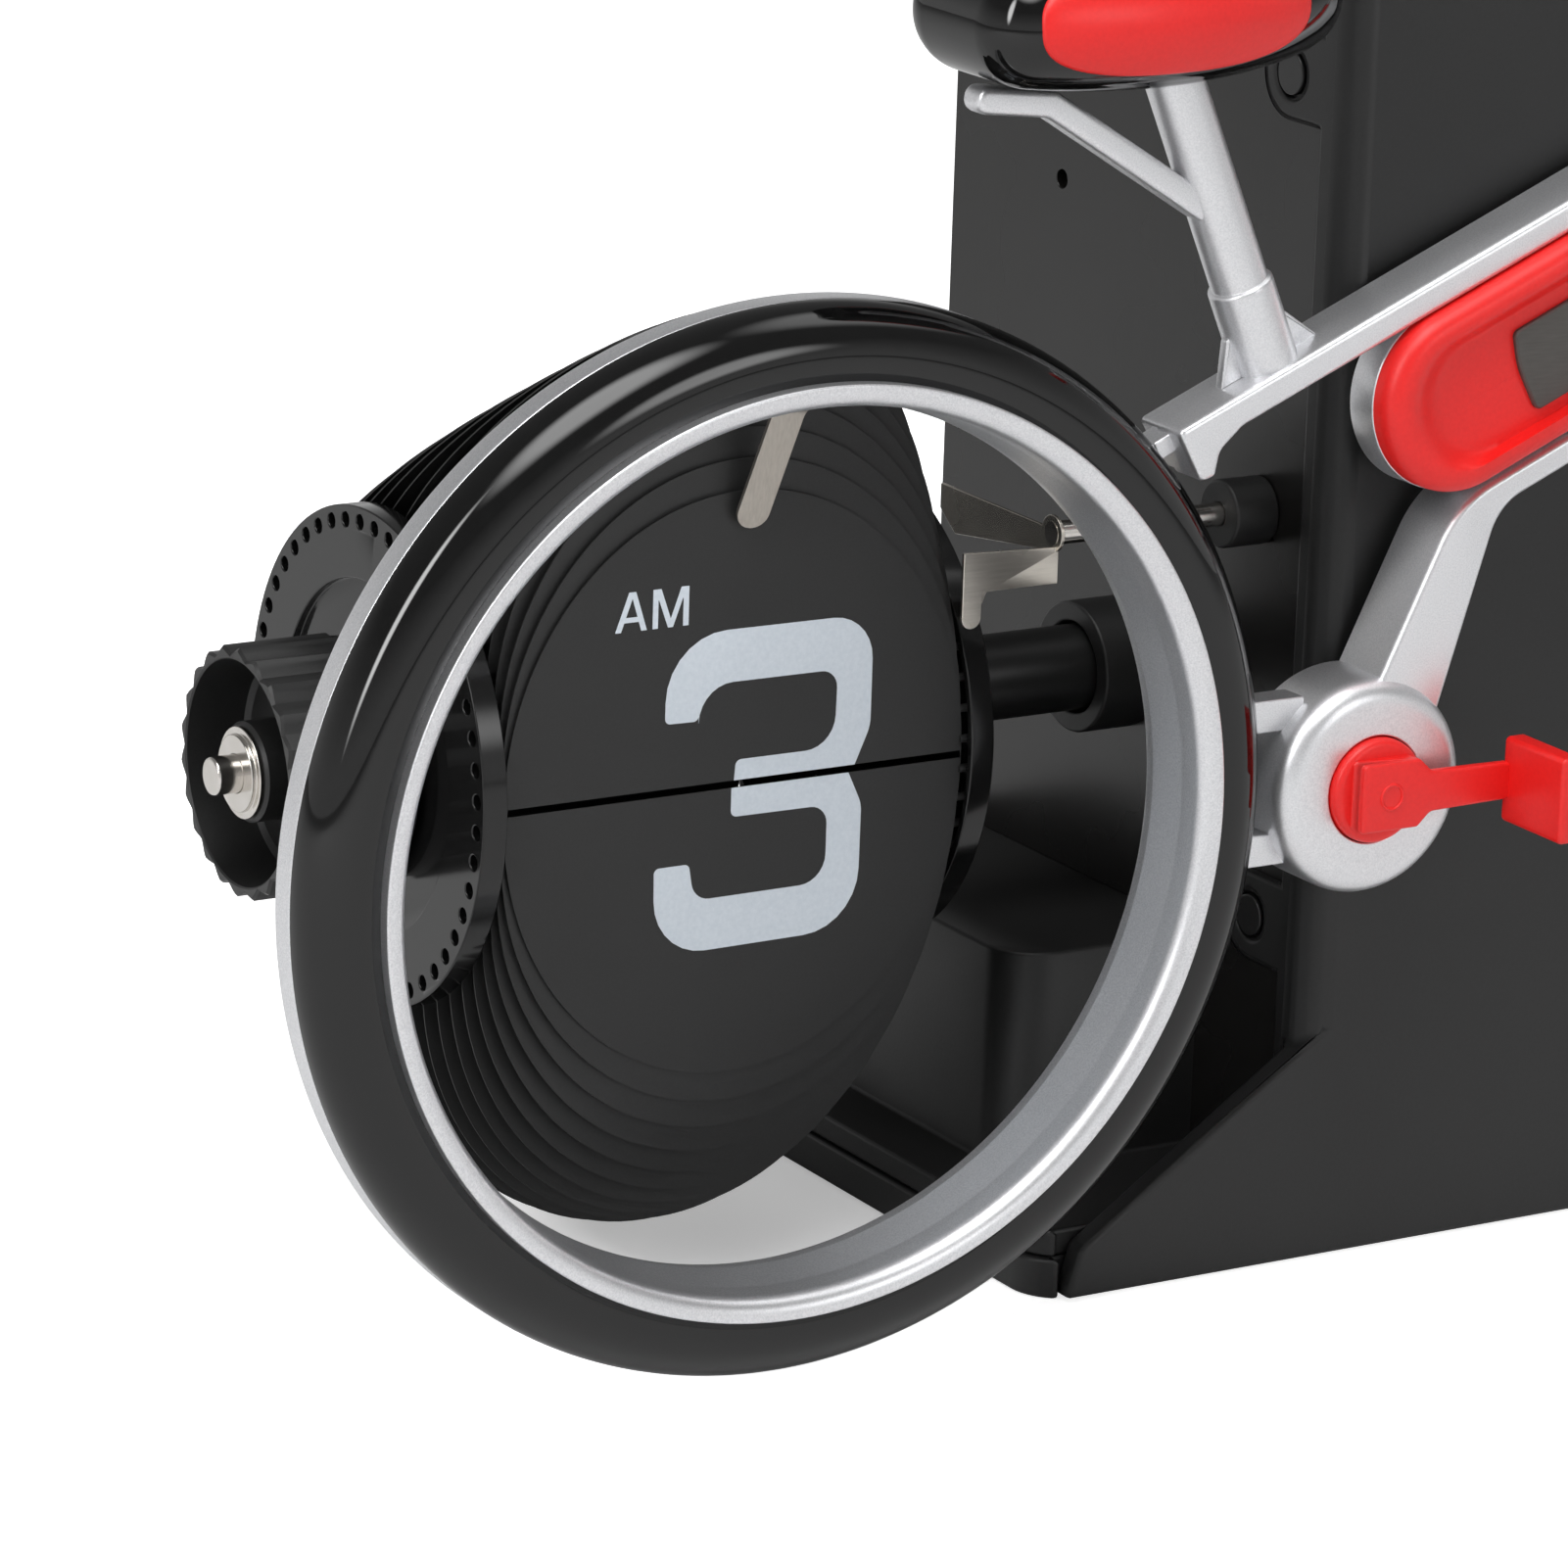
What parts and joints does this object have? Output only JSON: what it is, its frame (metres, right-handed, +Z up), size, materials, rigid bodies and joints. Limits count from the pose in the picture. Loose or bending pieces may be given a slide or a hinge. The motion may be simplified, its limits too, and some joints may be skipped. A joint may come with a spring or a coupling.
{
  "type": "flip clock",
  "caption": "Flip clock shaped like a bicycle: ring wheels frame drums of half-round leaves on geared shafts from a black case, with saddle, crank, fork and handlebar.",
  "frame": {"origin": "middle of the flat underside of the base, on the table; the drum axis stands straight above it", "axes": "+X to the right along the drum shafts, +Y to the back, the display faces -Y, +Z up"},
  "size_m": [0.3746, 0.1253, 0.1886],
  "materials": {
    "case_black": "fine grained black moulding",
    "black_gloss": "polished black",
    "plate_black": "black brushed sheet",
    "leaf_black": "matt black sheet with pale printed numerals",
    "silver_paint": "satin silver",
    "steel": "plain steel",
    "red_gloss": "red gloss",
    "gear_plastic": "natural moulding",
    "pad_rubber": "matt",
    "board_green": "coated board",
    "inset_grey": "brushed grey, blank"
  },
  "bodies": {
    "case": {"base_plate": "case_black", "base_pads": "pad_rubber", "base_housing": "case_black", "battery_tray": "case_black", "battery_cells": "red_gloss", "front_housing": "case_black", "rear_cover": "case_black", "side_plate_left": "plate_black", "side_plate_right": "plate_black", "screws": "steel", "gear_chassis": "steel", "drive_motor": "steel", "circuit_board": "board_green", "hour_bearing": "case_black", "hour_guide_rod": "steel", "hour_edge_spring": "steel", "hour_flap_spring": "steel", "hour_leaf_pack": "leaf_black", "hour_lower_leaf": "leaf_black", "minute_bearing": "case_black", "minute_guide_rod": "steel", "minute_edge_spring": "steel", "minute_flap_spring": "steel", "minute_leaf_pack": "leaf_black", "minute_lower_leaf": "leaf_black", "rear_rim": "silver_paint", "rear_tyre": "black_gloss", "front_rim": "silver_paint", "front_tyre": "black_gloss", "frame": "silver_paint", "frame_cover": "red_gloss", "cover_plate": "inset_grey", "seat_post": "silver_paint", "saddle_shell": "black_gloss", "saddle_panels": "red_gloss", "fork": "silver_paint", "handlebar": "silver_paint", "grips": "red_gloss"},
    "minute_drum": {"minute_shaft": "steel", "minute_gear": "gear_plastic", "minute_sleeve": "case_black", "minute_outer_disc": "case_black", "minute_inner_disc": "case_black", "minute_knob": "case_black", "minute_clip": "steel"},
    "hour_drum": {"hour_shaft": "steel", "hour_gear": "gear_plastic", "hour_sleeve": "case_black", "hour_outer_disc": "case_black", "hour_inner_disc": "case_black", "hour_knob": "case_black", "hour_clip": "steel"},
    "counter": {"counter_shaft": "steel", "counter_gear": "gear_plastic"},
    "motor": {"motor_pinion": "steel"},
    "hour_leaf": {"hour_front_leaf": "leaf_black"},
    "minute_leaf": {"minute_front_leaf": "leaf_black"},
    "crank_set": {"crank": "red_gloss"},
    "door": {"battery_door": "case_black"}
  },
  "joints": [
    {"name": "minute_drum_spin", "type": "hinge", "parent": "case", "child": "minute_drum", "pos_m": [0.1, 0, 0.066], "axis": [1, 0, 0], "continuous": true},
    {"name": "hour_drum_spin", "type": "hinge", "parent": "case", "child": "hour_drum", "pos_m": [-0.1, 0, 0.066], "axis": [1, 0, 0], "continuous": true},
    {"name": "counter_spin", "type": "hinge", "parent": "case", "child": "counter", "pos_m": [0, 0, 0.087], "axis": [1, 0, 0], "continuous": true},
    {"name": "motor_spin", "type": "hinge", "parent": "case", "child": "motor", "pos_m": [0.02, 0.0216, 0.066], "axis": [1, 0, 0], "continuous": true},
    {"name": "hour_leaf_fall", "type": "hinge", "parent": "case", "child": "hour_leaf", "pos_m": [-0.1167, -0.02814, 0.06784], "axis": [1, 0, 0], "range_deg": [0, 165], "deforming": ["hour_flap_spring", "hour_edge_spring"]},
    {"name": "minute_leaf_fall", "type": "hinge", "parent": "case", "child": "minute_leaf", "pos_m": [0.1167, -0.02816, 0.06748], "axis": [1, 0, 0], "range_deg": [0, 165], "deforming": ["minute_flap_spring", "minute_edge_spring"]},
    {"name": "crank_spin", "type": "hinge", "parent": "case", "child": "crank_set", "pos_m": [-0.0452, -0.054, 0.0641], "axis": [0, 1, 0], "continuous": true},
    {"name": "battery_door_swing", "type": "hinge", "parent": "case", "child": "door", "pos_m": [0, 0.0428, 0.0312], "axis": [1, 0, 0], "range_deg": [0, 95]}
  ],
  "couplings": [
    {"joint": "hour_drum_spin", "follows": "minute_drum_spin", "ratio": 0.041667},
    {"joint": "counter_spin", "follows": "minute_drum_spin", "ratio": -0.25},
    {"joint": "motor_spin", "follows": "minute_drum_spin", "ratio": -5}
  ]
}
